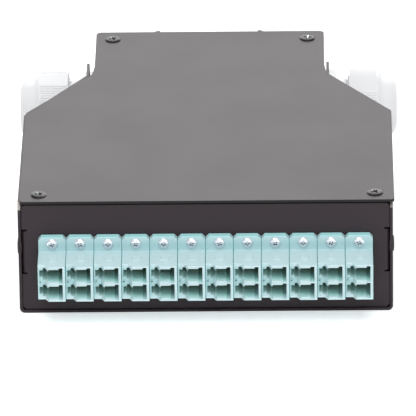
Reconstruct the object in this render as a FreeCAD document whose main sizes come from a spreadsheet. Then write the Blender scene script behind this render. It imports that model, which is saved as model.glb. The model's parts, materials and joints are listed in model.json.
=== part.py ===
import FreeCAD, Part
import os
import re
import Sketcher
from FreeCAD import Placement, Rotation, Vector

# DIN rail fibre box: a folded steel tray with a bottle-shaped plan, a screwed lid, twelve duplex
# adapters in the front panel, two cable glands on the neck and a sprung rail clip behind it.
# Millimetres, +Z up, the panel faces -Y, the origin is on the underside in the middle of the width.

DRIVING_SIZES = {
    # Folded tray; its width follows from the row of adapters
    "end_margin": 7.0,
    "tray_front": 74,
    "tray_rear": 73,
    "tray_height": 41.7,
    "sheet_wall": 1.0,
    "bend_radius": 2.0,
    "seam_gap": 0.15,
    "corner_relief": 0.3,
    "shoulder_end": 37,
    "neck_width": 81.8,
    "front_corner_cut": 2.2,
    # Flaps that run round the shoulders and end as tabs beside the neck
    "flap_start": 2,
    "flap_gap": 1.9,
    "flap_tab": 11,
    "flap_tab_height": 8,
    # Lid, which follows the tray's plan and sits a little to one side
    "lid_inset": 0.1,
    "lid_front_overhang": 0.2,
    "lid_rear_overhang": 1.0,
    "lid_shoulder_back": 0.2,
    "lid_flare_back": 1.0,
    "lid_flare_length": 7,
    "lid_flare_overhang": 1.3,
    "lid_neck_overhang": 0.6,
    "lid_corner": 2,
    "lid_shift": 0.6,
    "lid_screw_side_inset": 6.8,
    "lid_screw_front_inset": 5.6,
    "lid_screw_neck_inset": 5.5,
    "lid_screw_rear_inset": 5.8,
    "lid_tab": 11,
    # Front panel
    "panel_side_gap": 0.35,
    "panel_setback": 0.6,
    "panel_floor_gap": 0.4,
    "panel_top_gap": 0.9,
    "panel_corner": 1.5,
    "panel_bend": 1.6,
    "panel_tab_bottom": 15.3,
    "panel_tab_height": 15.7,
    "panel_tab_depth": 12,
    "relief_length": 1.9,
    "relief_height": 0.7,
    "side_screw_back": 5.4,
    # Screws of three millimetres and what they pass through
    "screw_shank": 1.45,
    "thread_clearance": 0.05,
    "screw_play": 0.25,
    "screw_head": 2.8,
    "screw_head_height": 0.8,
    "screw_head_chamfer": 0.35,
    "screw_length": 6,
    "nut_flats": 5.5,
    "nut_height": 2.4,
    "clinch_flange": 3.1,
    "clinch_shank": 2.1,
    "clinch_play": 0.1,
    # Duplex adapters
    "adapter_pitch": 9.7,
    "adapter_gap": 0.25,
    "adapter_axis": 18.15,
    "adapter_reach": 13.2,
    "adapter_rim": 0.495,
    "adapter_slot_play": 0.15,
    "flange_depth": 2.6,
    "flange_chamfer": 1.1,
    "ear_margin": 0.65,
    "latch_setback": 2.0,
    "latch_ramp_start": 1.2,
    "latch_ramp_end": 2.2,
    "port_pitch": 6.25,
    "port_wall": 0.95,
    "port_left": 1.1,
    "port_half": 2.33,
    "key_width": 1.3,
    "key_depth": 0.55,
    "tooth_half": 1.8,
    "latch_near": 1.8,
    "latch_mid": 3.0,
    "latch_wall": 0.55,
    "latch_half": 2.15,
    "latch_tip_half": 1.3,
    "middle_wall": 4.0,
    "holder_radius": 1.6,
    "holder_length": 7.6,
    "holder_lip": 0.4,
    "ferrule_hole": 0.68,
    "sleeve_outside": 0.82,
    "sleeve_inside": 0.62,
    "sleeve_play": 0.06,
    "sleeve_slit": 0.25,
    # Adapter screws of two millimetres
    "small_shank": 0.95,
    "small_play": 0.15,
    "small_head": 1.95,
    "small_head_height": 1.1,
    "small_head_chamfer": 0.5,
    "small_length": 5.6,
    # Cable glands
    "gland_thread": 10,
    "gland_play": 0.2,
    "gland_inner_reach": 9,
    "gasket_depth": 1.2,
    "gasket_width": 2.0,
    "gland_flats": 23.5,
    "gland_hex_depth": 5.2,
    "gland_outer_reach": 15.4,
    "cage_step": 0.7,
    "cage_length": 4.2,
    "cage_slot": 1.2,
    "cage_wall": 0.7,
    "seat_step": 1.1,
    "seal_play": 0.3,
    "seal_bore": 5,
    "seal_length": 12.6,
    "seal_nose": 1.3,
    "locknut_flats": 25,
    "locknut_depth": 5,
    "thread_play": 0.3,
    "cap_gap": 3.45,
    "cap_wall": 3.1,
    "cap_flat_depth": 0.45,
    "cap_grip": 10.4,
    "cap_bevel": 2.0,
    "cap_step": 1.9,
    "cap_taper": 1.6,
    "cap_dome": 4.6,
    "cap_hole": 6.0,
    "cap_end_wall": 4.45,
    # Rail clip and its latch
    "rail_gap": 35.7,
    "hook_wall": 2.3,
    "hook_lip": 3,
    "hook_lip_depth": 2.5,
    "lip_end": 1.3,
    "rail_flange_gap": 1.5,
    "seat_depth": 6.5,
    "clip_floor_gap": 3.5,
    "clip_lid_gap": 2.5,
    "clip_play": 0.3,
    "hook_play": 0.6,
    "channel_height": 16,
    "channel_depth": 4.6,
    "channel_end": 9,
    "latch_reach": 38,
    "latch_inner": 7,
    "window_height": 7,
    "window_end": 4,
    "post_outer": 12,
    "post_wall": 2,
    "post_height": 5,
    "spring_wire": 0.3,
    "spring_play": 0.1,
    "spring_turns": 6.5,
    "pull_slot_width": 2.6,
    "pull_slot_height": 8,
    "pull_slot_margin": 2.4,
    "clip_sink": 2,
    "clip_head": 2.7,
    "clip_screw_rib": 1.8,
    # Splice cassette inside
    "cassette_side_gap": 2.4,
    "cassette_front": 24,
    "cassette_rear_gap": 13,
    "cassette_floor": 3,
    "cassette_height": 9,
    "cassette_wall": 1.2,
    "cassette_corner": 10,
    "cassette_exit": 8,
    "cassette_exit_side": 18,
    "hub_radius": 11,
    "hub_inset": 16,
    "cover_wall": 1.2,
    "comb_length": 20,
    "comb_width": 16,
    "comb_gap": 2,
    "comb_floor": 1,
    "comb_rib": 0.8,
    "comb_height": 5.5,
    "post_flats": 5.5,
}
ADAPTER_COUNT = 12
COMB_RIBS = 7
CAGE_SLOTS = 8
CAP_FLATS = 6
# Degrees by which the caps stand turned when they are tight
RIGHT_CAP_TURN = 27
LEFT_CAP_TURN = -11.5
CUT_PAST = 1

doc = FreeCAD.newDocument("fibre_box")
sheet = doc.addObject("Spreadsheet::Sheet", "Sizes")
for row, (alias, number) in enumerate(DRIVING_SIZES.items(), start=1):
    sheet.set(f"A{row}", alias)
    sheet.set(f"B{row}", str(number))
    sheet.setAlias(f"B{row}", alias)
doc.recompute()

# Places and sizes that follow from the driving sizes, as expressions on the sheet
half_tray = f"(adapter_pitch * {ADAPTER_COUNT} / 2 + end_margin)"
half_neck = "(neck_width / 2)"
neck_inside = f"({half_neck} - sheet_wall)"
flap_reach = f"({half_neck} + flap_gap + sheet_wall)"
lid_screw_places = [(f"{side}({half_tray} - lid_screw_side_inset)", "lid_screw_front_inset - tray_front")
                    for side in ("", "-")]
lid_screw_places += [(f"{side}({half_neck} - lid_screw_neck_inset)", "tray_rear - lid_screw_rear_inset")
                     for side in ("", "-")]
screw_thread_hole = "(screw_shank + thread_clearance)"
screw_clear_hole = "(screw_shank + screw_play)"
small_thread_hole = "(small_shank + thread_clearance)"
small_clear_hole = "(small_shank + small_play)"
half_panel = f"({half_tray} - sheet_wall - panel_side_gap)"
panel_face = "(-tray_front + panel_setback)"
panel_back = "(-tray_front + panel_setback + sheet_wall)"
panel_tab_top = "(panel_tab_bottom + panel_tab_height)"
side_screw_level = "(panel_tab_bottom + panel_tab_height / 2)"
first_adapter = f"(-adapter_pitch * {(ADAPTER_COUNT - 1) / 2})"
adapter_row = f"(adapter_pitch * {ADAPTER_COUNT - 1})"
adapter_side = "((adapter_pitch - adapter_gap) / 2)"
port_key_half = "(port_half + key_depth)"
adapter_top = f"(port_pitch / 2 + {port_key_half} + adapter_rim)"
ear_level = f"({adapter_top} + ear_margin + small_head)"
ear_places = [("0", ear_level), ("0", f"-{ear_level}")]
flange_top = f"({ear_level} + small_head + ear_margin)"
port_right = f"({adapter_side} - port_wall)"
plug_axis = f"(({port_right} - port_left) / 2)"
plug_places = [(plug_axis, "port_pitch / 2"), (plug_axis, "-port_pitch / 2")]
adapter_front = "(-flange_depth - adapter_reach)"
adapter_middle = "(-flange_depth / 2)"
gland_back = "((shoulder_end + tray_rear) / 2)"
gland_axis = "(tray_height / 2)"
gland_hole = "(gland_thread + gland_play)"
gasket_face = f"({half_neck} + gasket_depth)"
cage_end = f"({gasket_face} + gland_hex_depth + gland_outer_reach)"
cage_start = f"({cage_end} - cage_length)"
cage_radius = "(gland_thread - cage_step)"
seal_seat = f"({cage_radius} - cage_wall)"
gland_bore = f"({seal_seat} - seat_step)"
seal_end = f"({cage_end} + seal_nose)"
cap_bore = "(gland_thread + thread_play)"
cap_radius = f"({cap_bore} + cap_wall)"
cap_start = f"({gasket_face} + gland_hex_depth + cap_gap)"
cap_end = f"({seal_end} + cap_end_wall)"
seat_face = "(tray_rear + seat_depth)"
lip_face = f"({seat_face} + rail_flange_gap)"
hook_end = f"({lip_face} + hook_lip_depth)"
hook_inside = "(rail_gap / 2)"
hook_outside = "(rail_gap / 2 + hook_wall)"
clip_top = "(tray_height - clip_lid_gap)"
clip_middle = f"((clip_floor_gap + {clip_top}) / 2)"
clip_height = f"({clip_top} - clip_floor_gap)"
clip_head_hole = "(clip_head + clip_play)"
clip_screw_level = f"(channel_height / 2 + clip_screw_rib + {clip_head_hole})"
clip_screw_places = [("0", f"{clip_middle} {side} {clip_screw_level}") for side in ("+", "-")]
half_cassette = f"({half_neck} - gland_inner_reach - cassette_side_gap)"
cassette_rear = "(tray_rear - cassette_rear_gap)"
hub_places = [("0", "hub_inset - cassette_front"), ("0", f"{cassette_rear} - hub_inset")]


def bound(text):
    """The same expression with each alias read from the sheet."""
    def on_sheet(word):
        return "Sizes." + word.group() if word.group() in DRIVING_SIZES else word.group()
    return re.sub(r"\b[a-z_]+\b", on_sheet, text)


def value(text):
    """The number that an expression on the sheet gives now."""
    found = sheet.evalExpression(text)
    return float(getattr(found, "Value", found))


def new_body(label, x="0", y="0", z="0"):
    """A body whose place follows the sheet; it may hold several like solids."""
    body = doc.addObject("PartDesign::Body", label)
    body.Label = label
    body.AllowCompound = True
    body.setExpression("Placement.Base.x", bound(x))
    body.setExpression("Placement.Base.y", bound(y))
    body.setExpression("Placement.Base.z", bound(z))
    return body


def sketch_on(body, plane, level, shift=("0", "0")):
    """An empty sketch on one of the body's own planes, at a level along the plane's normal."""
    sketch = body.newObject("Sketcher::SketchObject", body.Label + "_sketch")
    support = next(item for item in body.Origin.OriginFeatures if item.Role == plane + "_Plane")
    sketch.AttachmentSupport = [(support, "")]
    sketch.MapMode = "FlatFace"
    sketch.setExpression("AttachmentOffset.Base.x", bound(shift[0]))
    sketch.setExpression("AttachmentOffset.Base.y", bound(shift[1]))
    # The XZ plane looks along -Y, so a place along +Y is a negative level there
    sketch.setExpression("AttachmentOffset.Base.z", bound(f"-({level})" if plane == "XZ" else level))
    return sketch


def hold_point(sketch, element, end, x, y):
    """Fixes one point of a sketch by two dimensions that follow the sheet."""
    for kind, axis, text in (("DistanceX", -2, x), ("DistanceY", -1, y)):
        distance = value(text)
        if abs(distance) < 1e-9:
            sketch.addConstraint(Sketcher.Constraint("PointOnObject", element, end, axis))
        elif distance > 0:
            index = sketch.addConstraint(Sketcher.Constraint(kind, -1, 1, element, end, distance))
            sketch.setExpression(f"Constraints[{index}]", bound(text))
        else:
            index = sketch.addConstraint(Sketcher.Constraint(kind, element, end, -1, 1, -distance))
            sketch.setExpression(f"Constraints[{index}]", bound(f"-({text})"))


def add_loop(sketch, points):
    """Adds a closed outline of straight lines."""
    first = sketch.GeometryCount
    corners = [Vector(value(x), value(y), 0) for x, y in points]
    for start, end in zip(corners, corners[1:] + corners[:1]):
        sketch.addGeometry(Part.LineSegment(start, end), False)
    for index, (x, y) in enumerate(points):
        following = first + (index + 1) % len(points)
        sketch.addConstraint(Sketcher.Constraint("Coincident", first + index, 2, following, 1))
        hold_point(sketch, first + index, 1, x, y)


def add_circle(sketch, x, y, radius):
    """Adds a circle."""
    circle = Part.Circle(Vector(value(x), value(y), 0), Vector(0, 0, 1), value(radius))
    element = sketch.addGeometry(circle, False)
    hold_point(sketch, element, 3, x, y)
    index = sketch.addConstraint(Sketcher.Constraint("Radius", element, value(radius)))
    sketch.setExpression(f"Constraints[{index}]", bound(radius))


def outline(body, plane, level, *loops, shift=("0", "0")):
    """A sketch of one or more closed outlines."""
    sketch = sketch_on(body, plane, level, shift)
    for points in loops:
        add_loop(sketch, points)
    return sketch


def circles(body, plane, level, centres, *radii):
    """A sketch of equal circles, or of rings where two radii are given."""
    sketch = sketch_on(body, plane, level)
    for x, y in centres:
        for radius in radii:
            add_circle(sketch, x, y, radius)
    return sketch


def rectangle(x_low, y_low, x_high, y_high):
    return [(x_low, y_low), (x_high, y_low), (x_high, y_high), (x_low, y_high)]


def mirrored(points):
    """A symmetrical outline from its right-hand half."""
    return points + [(f"-({x})", y) for x, y in reversed(points)]


def hexagon(flats):
    """Corners of a hexagon with two corners on the sketch's vertical axis."""
    side = f"{flats} / 2"
    corner = f"{flats} / sqrt(3)"
    low = f"{flats} / sqrt(12)"
    return [("0", corner), (side, low), (side, f"-({low})"),
            ("0", f"-({corner})"), (f"-({side})", f"-({low})"), (f"-({side})", low)]


def pad(body, sketch, length):
    feature = body.newObject("PartDesign::Pad", body.Label + "_pad")
    feature.Profile = sketch
    feature.setExpression("Length", bound(length))
    return feature


def cut(body, sketch, length):
    """Removes the sketch's area along the plane's normal, and makes sure that it met the solid."""
    doc.recompute()
    before = body.Tip.Shape.Volume
    feature = body.newObject("PartDesign::Pocket", body.Label + "_cut")
    feature.Profile = sketch
    feature.Reversed = True
    feature.setExpression("Length", bound(length))
    doc.recompute()
    if feature.Shape.Volume > before - 1e-6:
        raise RuntimeError(f"{body.Label}: a cut removes nothing")
    return feature


def turn(body, sketch, axis):
    """Revolves a half profile about one of its sketch's axes."""
    feature = body.newObject("PartDesign::Revolution", body.Label + "_turned")
    feature.Profile = sketch
    feature.ReferenceAxis = (sketch, [axis])
    feature.Angle = 360
    return feature


def row_of(body, features, axis, count, length):
    """Repeats features in a straight row along one of the body's axes."""
    pattern = body.newObject("PartDesign::LinearPattern", body.Label + "_row")
    pattern.Originals = features
    pattern.Direction = (body_axis(body, axis), [""])
    pattern.setExpression("Length", bound(length))
    pattern.Occurrences = count
    body.Tip = pattern
    return pattern


def ring_of(body, feature, axis, count):
    """Repeats a feature all round one of the body's axes."""
    pattern = body.newObject("PartDesign::PolarPattern", body.Label + "_ring")
    pattern.Originals = [feature]
    pattern.Axis = (body_axis(body, axis), [""])
    pattern.Angle = 360
    pattern.Occurrences = count
    body.Tip = pattern
    return pattern


def body_axis(body, axis):
    return next(item for item in body.Origin.OriginFeatures if item.Role == axis + "_Axis")


def round_edges(body, radius, chosen, kind="Fillet"):
    """Rounds or chamfers the edges whose middle and direction pass a test."""
    doc.recompute()
    base = body.Tip
    names = []
    for index, edge in enumerate(base.Shape.Edges, start=1):
        middle = edge.valueAt((edge.FirstParameter + edge.LastParameter) / 2)
        along = edge.tangentAt((edge.FirstParameter + edge.LastParameter) / 2)
        if chosen(middle, along):
            names.append(f"Edge{index}")
    if not names:
        raise RuntimeError(f"{body.Label}: no edge to round")
    feature = body.newObject("PartDesign::" + kind, body.Label + "_edges")
    feature.Base = (base, names)
    feature.setExpression("Radius" if kind == "Fillet" else "Size", bound(radius))
    doc.recompute()
    return feature


def near(number, text):
    return abs(number - value(text)) < 1e-4


def base_tray():
    """One sheet, folded up at the sides, the neck and the rear, with a flap round each shoulder."""
    tray = new_body("base_tray")
    side_inside = f"({half_tray} - sheet_wall)"

    def channel(half, inside):
        return mirrored([(half, "0"), (half, "tray_height"), (inside, "tray_height"), (inside, "sheet_wall")])

    pad(tray, outline(tray, "XZ", "0", channel(half_tray, side_inside)), "tray_front")
    bend_start = f"({half_tray} - bend_radius - corner_relief)"
    neck_bend_start = f"({half_neck} - bend_radius - corner_relief)"
    shoulder_floor = mirrored([
        (bend_start, "0"),
        (side_inside, "flap_start"),
        (flap_reach, "shoulder_end - flap_start"),
        (neck_bend_start, "shoulder_end - flap_start"),
        (neck_bend_start, "shoulder_end + sheet_wall"),
    ])
    pad(tray, outline(tray, "XY", "0", shoulder_floor), "sheet_wall")
    neck_end = "(tray_rear - bend_radius - corner_relief)"
    pad(tray, outline(tray, "XZ", neck_end, channel(half_neck, neck_inside)), f"{neck_end} - shoulder_end")
    round_edges(tray, "bend_radius", lambda at, along: abs(along.y) > 0.99 and near(at.z, "0")
                and (near(abs(at.x), half_tray) or near(abs(at.x), half_neck)))
    round_edges(tray, "bend_radius - sheet_wall", lambda at, along: abs(along.y) > 0.99
                and near(at.z, "sheet_wall")
                and (near(abs(at.x), side_inside) or near(abs(at.x), neck_inside)))

    # The rear wall folds up between two corner reliefs and covers the ends of the neck walls
    wall_base = "(bend_radius + sheet_wall)"
    rear_inside = "(tray_rear - sheet_wall)"
    rear_fold = [(neck_end, "0"), ("tray_rear", "0"), ("tray_rear", "tray_height"),
                 (rear_inside, "tray_height"), (rear_inside, "sheet_wall"), (neck_end, "sheet_wall")]
    pad(tray, outline(tray, "YZ", f"-{neck_bend_start}", rear_fold), f"2 * {neck_bend_start}")
    round_edges(tray, "bend_radius", lambda at, along: abs(along.x) > 0.99
                and near(at.z, "0") and near(at.y, "tray_rear"))
    round_edges(tray, "bend_radius - sheet_wall", lambda at, along: abs(along.x) > 0.99
                and near(at.z, "sheet_wall") and near(at.y, rear_inside))
    rear_plate = rectangle(f"-{half_neck}", wall_base, half_neck, "tray_height")
    pad(tray, outline(tray, "XZ", "tray_rear", rear_plate), "sheet_wall")
    for low, high in ((neck_inside, half_neck), (f"-{half_neck}", f"-{neck_inside}")):
        end_strip = rectangle(low, wall_base, high, "tray_height")
        pad(tray, outline(tray, "XZ", f"{rear_inside} - seam_gap", end_strip), f"{rear_inside} - {neck_end}")

    # Each flap turns inwards at the side wall and outwards again beside the neck
    slope = f"({half_tray} - {flap_reach}) / (shoulder_end - flap_start)"
    mitre = f"sheet_wall * tan(atan({slope}) / 2)"
    flap = [
        (half_tray, "0"),
        (half_tray, "flap_start"),
        (flap_reach, "shoulder_end"),
        (flap_reach, "shoulder_end + flap_tab"),
        (f"{flap_reach} - sheet_wall", "shoulder_end + flap_tab"),
        (f"{flap_reach} - sheet_wall", f"shoulder_end - {mitre}"),
        (side_inside, f"flap_start - {mitre}"),
        (side_inside, "0"),
    ]
    for side in ("", "-"):
        placed = [(f"{side}({x})", y) for x, y in flap]
        flap_level = "(sheet_wall + seam_gap)"
        pad(tray, outline(tray, "XY", flap_level, placed), f"tray_height - {flap_level}")
        below_tab = rectangle(f"{side}({half_neck} + seam_gap)", "shoulder_end + sheet_wall",
                              f"{side}({flap_reach} + sheet_wall)", "shoulder_end + flap_tab + seam_gap")
        cut(tray, outline(tray, "XY", "0", below_tab), "tray_height - flap_tab_height")
        round_edges(tray, "bend_radius", lambda at, along: abs(along.z) > 0.99
                    and near(at.x, f"{side}({half_tray})") and near(at.y, "flap_start"))
        round_edges(tray, "bend_radius - sheet_wall", lambda at, along: abs(along.z) > 0.99
                    and near(at.x, f"{side}({side_inside})") and near(at.y, f"flap_start - {mitre}"))

    # Tabs under the lid screws
    for side in ("", "-"):
        front_tab = rectangle(f"{side}({side_inside} - lid_tab)",
                              f"{panel_back} + corner_relief",
                              f"{side}({half_tray} - sheet_wall / 2)",
                              f"{panel_back} + corner_relief + lid_tab")
        rear_tab = rectangle(f"{side}({neck_inside} - corner_relief - lid_tab)",
                             f"{rear_inside} - lid_tab",
                             f"{side}({neck_inside} - corner_relief)",
                             "tray_rear - sheet_wall / 2")
        pad(tray, outline(tray, "XY", "tray_height - sheet_wall", front_tab, rear_tab), "sheet_wall")
    lid_holes = [(f"{x} + lid_shift", y) for x, y in lid_screw_places]
    thread_holes = circles(tray, "XY", "tray_height - 2 * sheet_wall", lid_holes, screw_thread_hole)
    cut(tray, thread_holes, "3 * sheet_wall")

    gland_holes = circles(tray, "YZ", f"-{half_neck} - seam_gap / 2", [(gland_back, gland_axis)], gland_hole)
    cut(tray, gland_holes, f"2 * {half_neck} + seam_gap")
    side_hole = [(f"{panel_face} + side_screw_back", side_screw_level)]
    cut(tray, circles(tray, "YZ", f"-{half_tray}", side_hole, screw_clear_hole), f"2 * {half_tray}")
    clip_holes = circles(tray, "XZ", "tray_rear + sheet_wall", clip_screw_places, screw_thread_hole)
    cut(tray, clip_holes, "3 * sheet_wall")
    corner = [("-tray_front", "tray_height - front_corner_cut"), ("-tray_front", "tray_height"),
              ("-tray_front + front_corner_cut", "tray_height")]
    cut(tray, outline(tray, "YZ", f"-{half_tray}", corner), f"2 * {half_tray}")
    return tray


def lid():
    """A flat plate with the tray's plan."""
    plate = new_body("lid", x="lid_shift", z="tray_height")
    front = "(-tray_front - lid_front_overhang)"
    shoulder = "(flap_start - lid_shoulder_back)"
    flare = "(shoulder_end - lid_flare_back)"
    rear = "(tray_rear + lid_rear_overhang)"
    side = f"({half_tray} - lid_inset)"
    neck_side = f"({half_neck} + lid_neck_overhang)"
    plan = mirrored([
        (side, front),
        (side, shoulder),
        (f"{half_neck} + lid_flare_overhang", flare),
        (neck_side, f"{flare} + lid_flare_length"),
        (neck_side, rear),
    ])
    pad(plate, outline(plate, "XY", "0", plan), "sheet_wall")
    round_edges(plate, "lid_corner", lambda at, along: abs(along.z) > 0.99
                and (near(at.y, rear) or near(at.y, shoulder)))
    round_edges(plate, "lid_corner / 2", lambda at, along: abs(along.z) > 0.99 and near(at.y, front))
    cut(plate, circles(plate, "XY", "-sheet_wall", lid_screw_places, screw_clear_hole), "3 * sheet_wall")
    return plate


def front_panel():
    """A plate between the side walls, with one long slot and a tab bent back at each end."""
    panel = new_body("front_panel", y=panel_back)
    plate = rectangle(f"-{half_panel}", "sheet_wall + panel_floor_gap",
                      half_panel, "tray_height - panel_top_gap")
    pad(panel, outline(panel, "XZ", "0", plate), "sheet_wall")
    round_edges(panel, "panel_corner", lambda at, along: abs(along.y) > 0.99)
    for side in ("", "-"):
        tab = rectangle(f"{side}({half_panel} - sheet_wall)", "panel_tab_bottom",
                        f"{side}({half_panel})", panel_tab_top)
        pad(panel, outline(panel, "XZ", "panel_tab_depth - sheet_wall", tab), "panel_tab_depth")
        reliefs = [rectangle(f"{side}({half_panel} - relief_length)", low,
                             f"{side}({half_panel} + {CUT_PAST})", high)
                   for low, high in ((panel_tab_top, f"{panel_tab_top} + relief_height"),
                                     ("panel_tab_bottom - relief_height", "panel_tab_bottom"))]
        cut(panel, outline(panel, "XZ", "sheet_wall", *reliefs), "3 * sheet_wall")
    round_edges(panel, "panel_bend", lambda at, along: abs(along.z) > 0.99 and near(abs(at.x), half_panel)
                and near(at.y, "-sheet_wall") and near(at.z, side_screw_level))
    round_edges(panel, "panel_bend - sheet_wall", lambda at, along: abs(along.z) > 0.99
                and near(abs(at.x), f"{half_panel} - sheet_wall") and near(at.y, "0")
                and near(at.z, side_screw_level))
    slot_half = f"({adapter_row} / 2 + {adapter_side} + adapter_slot_play)"
    slot = rectangle(f"-{slot_half}", f"adapter_axis - {adapter_top} - adapter_slot_play",
                     slot_half, f"adapter_axis + {adapter_top} + adapter_slot_play")
    cut(panel, outline(panel, "XZ", "sheet_wall", slot), "3 * sheet_wall")
    side_hole = [("side_screw_back - sheet_wall", side_screw_level)]
    clinch_hole = circles(panel, "YZ", f"-{half_panel}", side_hole, "clinch_shank + clinch_play")
    cut(panel, clinch_hole, f"2 * {half_panel}")
    ears = [(first_adapter, f"adapter_axis + {z}") for x, z in ear_places]
    screw_holes = cut(panel, circles(panel, "XZ", "sheet_wall", ears, small_thread_hole), "3 * sheet_wall")
    row_of(panel, [screw_holes], "X", ADAPTER_COUNT, adapter_row)
    return panel


def port(centre):
    """Front outline of one port: the plug's square with two keyways, and the latch slot beside it."""
    latch_far = f"({adapter_side} - latch_wall)"
    latch_half = [(latch_far, "latch_tip_half"), ("latch_mid", "latch_tip_half"), ("latch_mid", "latch_half"),
                  ("latch_near", "latch_half"), ("latch_near", "tooth_half"), ("port_left", "tooth_half")]
    key_start = f"({port_right} - key_width)"
    plug_half = [("port_left", "port_half"), (f"-{key_start}", "port_half"),
                 (f"-{key_start}", port_key_half), (f"-{port_right}", port_key_half)]
    upper = [(f"-({x})", z) for x, z in latch_half + plug_half]
    lower = [(x, f"-({z})") for x, z in reversed(upper)]
    return [(x, f"{centre} + {z}") for x, z in upper + lower]


def adapter(label):
    """Two stacked ports through one moulding, with a screw ear above and below."""
    block = new_body(label, x=first_adapter, y=panel_face, z="adapter_axis")
    front_plan = [(adapter_side, adapter_front), ("-latch_ramp_start", adapter_front),
                  ("-latch_ramp_end", f"{adapter_front} + latch_setback"),
                  (f"-{adapter_side}", f"{adapter_front} + latch_setback")]
    rear_plan = [(x, f"-flange_depth - ({y})") for x, y in reversed(front_plan)]
    pad(block, outline(block, "XY", f"-{adapter_top}", front_plan + rear_plan), f"2 * {adapter_top}")
    flange = mirrored([
        (f"{adapter_side} - flange_chamfer", f"-{flange_top}"),
        (adapter_side, f"-{flange_top} + flange_chamfer"),
        (adapter_side, f"{flange_top} - flange_chamfer"),
        (f"{adapter_side} - flange_chamfer", flange_top),
    ])
    pad(block, outline(block, "XZ", "0", flange), "flange_depth")
    ear_holes = circles(block, "XZ", "sheet_wall", ear_places, small_clear_hole)
    cut(block, ear_holes, "flange_depth + 2 * sheet_wall")
    both_ports = [port("port_pitch / 2"), port("-port_pitch / 2")]
    port_depth = "(flange_depth / 2 + adapter_reach - middle_wall / 2)"
    cut(block, outline(block, "XZ", f"{adapter_middle} - middle_wall / 2", *both_ports), port_depth)
    cut(block, outline(block, "XZ", "adapter_reach", *both_ports), port_depth)
    holder_end = f"({adapter_middle} + holder_length / 2)"
    pad(block, circles(block, "XZ", holder_end, plug_places, "holder_radius"), "holder_length")
    cut(block, circles(block, "XZ", holder_end, plug_places, "ferrule_hole"), "holder_length")
    for x, z in plug_places:
        space = block.newObject("PartDesign::SubtractiveCylinder", label + "_sleeve_space")
        space.setExpression("Radius", bound("sleeve_outside + sleeve_play"))
        space.setExpression("Height", bound("holder_length - 2 * holder_lip"))
        space.Placement = Placement(Vector(), Rotation(Vector(1, 0, 0), 90))
        space.setExpression("Placement.Base.x", bound(x))
        space.setExpression("Placement.Base.y", bound(f"{holder_end} - holder_lip"))
        space.setExpression("Placement.Base.z", bound(z))
    return block


def sleeves(label):
    """The two split sleeves that line up the ferrules in one adapter."""
    pair = new_body(label, x=first_adapter, y=panel_face, z="adapter_axis")
    length = "(holder_length - 2 * holder_lip - 2 * sleeve_play)"
    rings = circles(pair, "XZ", f"{adapter_middle} + {length} / 2", plug_places,
                    "sleeve_outside", "sleeve_inside")
    pad(pair, rings, length)
    slits = [rectangle(f"{x} - sleeve_slit / 2", z, f"{x} + sleeve_slit / 2", f"{z} + 2 * sleeve_outside")
             for x, z in plug_places]
    cut(pair, outline(pair, "XZ", f"{adapter_middle} + {length}", *slits), f"2 * {length}")
    return pair


def copy_of(source, label, x, y, z, rotation=Rotation()):
    """The same piece again at another place."""
    link = doc.addObject("App::Link", label)
    link.Label = label
    link.LinkedObject = source
    link.Placement = Placement(Vector(), rotation)
    link.setExpression("Placement.Base.x", bound(x))
    link.setExpression("Placement.Base.y", bound(y))
    link.setExpression("Placement.Base.z", bound(z))
    return link


def screw_profile(shank, head, head_height, chamfer, length):
    """Half of a pan-head screw: the sketch's vertical axis is the screw's, with the head below zero."""
    return [("0", f"-({head_height})"), (f"{head} - {chamfer} * 2", f"-({head_height})"),
            (head, f"-({head_height}) + {chamfer}"), (head, "0"), (shank, "0"), (shank, length),
            ("0", length)]


def machine_screw(length):
    """Half of a low screw of three millimetres."""
    return screw_profile("screw_shank", "screw_head", "screw_head_height", "screw_head_chamfer", length)


def turned_over(profile):
    return [(x, f"-({y})") for x, y in profile]


def adapter_screws():
    """Two small screws for each adapter, in two rows."""
    rows = new_body("adapter_screws", x=first_adapter, y=f"{panel_face} - flange_depth", z="adapter_axis")
    profile = screw_profile("small_shank", "small_head", "small_head_height", "small_head_chamfer",
                            "small_length")
    turned = [turn(rows, outline(rows, "XY", level, profile), "V_Axis") for x, level in ear_places]
    row_of(rows, turned, "X", ADAPTER_COUNT, adapter_row)
    return rows


def lid_screws():
    """Four low screws, one at each corner of the lid."""
    screws = new_body("lid_screws", x="lid_shift", z="tray_height + sheet_wall")
    for x, y in lid_screw_places:
        profile = turned_over(machine_screw("screw_length"))
        turn(screws, outline(screws, "XZ", y, profile, shift=(x, "0")), "V_Axis")
    return screws


def panel_screws():
    """One screw through each side wall into the panel's tab."""
    screws = new_body("panel_screws", y=f"{panel_face} + side_screw_back", z=side_screw_level)
    for side in ("", "-"):
        placed = [(f"{side}({half_tray} - ({along}))", across)
                  for across, along in machine_screw("screw_length")]
        turn(screws, outline(screws, "XY", "0", placed), "H_Axis")
    return screws


def panel_nuts():
    """Clinch nuts in the panel's tabs; their flanges bear on the side walls."""
    nuts = new_body("panel_nuts", y=f"{panel_face} + side_screw_back", z=side_screw_level)
    flange_end = f"({half_tray} - sheet_wall)"
    shank_end = f"({half_panel} - sheet_wall - clinch_play)"
    profile = [(flange_end, screw_thread_hole), (flange_end, "clinch_flange"), (half_panel, "clinch_flange"),
               (half_panel, "clinch_shank"), (shank_end, "clinch_shank"), (shank_end, screw_thread_hole)]
    for side in ("", "-"):
        turn(nuts, outline(nuts, "XY", "0", [(f"{side}({x})", r) for x, r in profile]), "H_Axis")
    return nuts


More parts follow.
